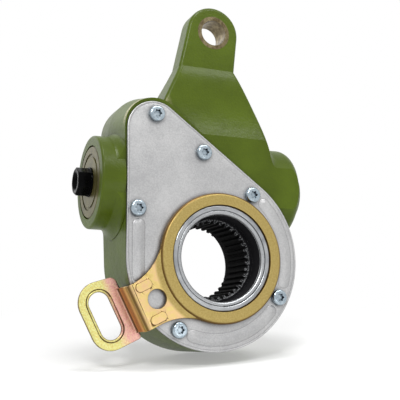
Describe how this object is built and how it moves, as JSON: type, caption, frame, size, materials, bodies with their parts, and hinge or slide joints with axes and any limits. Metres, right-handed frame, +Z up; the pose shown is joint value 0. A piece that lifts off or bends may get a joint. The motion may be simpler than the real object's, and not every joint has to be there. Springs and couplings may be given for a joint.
{
  "type": "automatic brake slack adjuster",
  "caption": "Lever for an air brake camshaft: splined hub, worm gear with an adjusting hexagon and rack-driven clutch, slotted control arm, clevis eye.",
  "frame": {"origin": "on the camshaft spline's axis, in the plane of the worm's axis", "axes": "+Y along the camshaft, away from the cover; +Z up the lever to the clevis eye; +X to the worm's blind end"},
  "size_m": [0.1272, 0.0544, 0.1876],
  "materials": {
    "casting_paint": "semi_gloss olive green enamel",
    "bush_metal": "satin",
    "cover_alloy": "satin",
    "gasket_paper": "matte",
    "screw_zinc": "bright zinc",
    "arm_chromate": "yellow chromated zinc",
    "hub_steel": "turned",
    "seal_rubber": "matte",
    "dark_steel": "phosphated and oiled",
    "bare_steel": "ground",
    "cage_brass": "satin",
    "cap_paint": "olive yellow chromate, turned"
  },
  "bodies": {
    "casting": {"housing": "casting_paint", "clevis_bush": "bush_metal", "cover_plate": "cover_alloy", "cover_gasket": "gasket_paper", "cover_screws": "screw_zinc", "hub_slip_washer": "bare_steel", "wheel_seal_rear": "seal_rubber", "wheel_thrust_washer": "bare_steel", "end_cap": "cap_paint", "cap_seal": "seal_rubber", "shaft_seal": "seal_rubber", "thrust_spring": "bare_steel", "spring_seat": "bare_steel", "still_race": "bare_steel", "bearing_balls": "bare_steel", "bearing_cage": "cage_brass", "worm_bush": "bush_metal"},
    "arm": {"control_arm": "arm_chromate", "control_hub": "hub_steel", "hub_seal": "seal_rubber"},
    "rack": {"rack": "bare_steel", "rack_pin": "bare_steel"},
    "clutch": {"clutch_gear": "bare_steel", "one_way_spring": "bare_steel", "clutch_ring": "bare_steel"},
    "worm": {"worm_screw": "dark_steel", "shaft_clip": "bare_steel", "turning_race": "bare_steel"},
    "wheel": {"worm_wheel": "dark_steel", "wheel_seal_front": "seal_rubber"}
  },
  "joints": [
    {"name": "control_arm_turn", "type": "hinge", "parent": "casting", "child": "arm", "pos_m": [0, 0, 0], "axis": [0, 1, 0], "range_deg": [-1, 20]},
    {"name": "rack_slide", "type": "slide", "parent": "casting", "child": "rack", "axis": [0, 0, 1], "range_m": [-0.0008, 0.0133]},
    {"name": "clutch_gear_turn", "type": "hinge", "parent": "casting", "child": "clutch", "pos_m": [0, 0, 0.04], "axis": [1, 0, 0], "range_deg": [-46, 3]},
    {"name": "worm_wheel_turn", "type": "hinge", "parent": "casting", "child": "wheel", "pos_m": [0, 0, 0], "axis": [0, 1, 0], "continuous": true},
    {"name": "worm_screw_turn", "type": "hinge", "parent": "casting", "child": "worm", "pos_m": [0, 0, 0.04], "axis": [1, 0, 0], "continuous": true}
  ],
  "couplings": [
    {"joint": "rack_slide", "follows": "control_arm_turn", "m_per_rad": 0.0375},
    {"joint": "clutch_gear_turn", "follows": "control_arm_turn", "ratio": -2.2727},
    {"joint": "worm_screw_turn", "follows": "worm_wheel_turn", "ratio": -20}
  ]
}
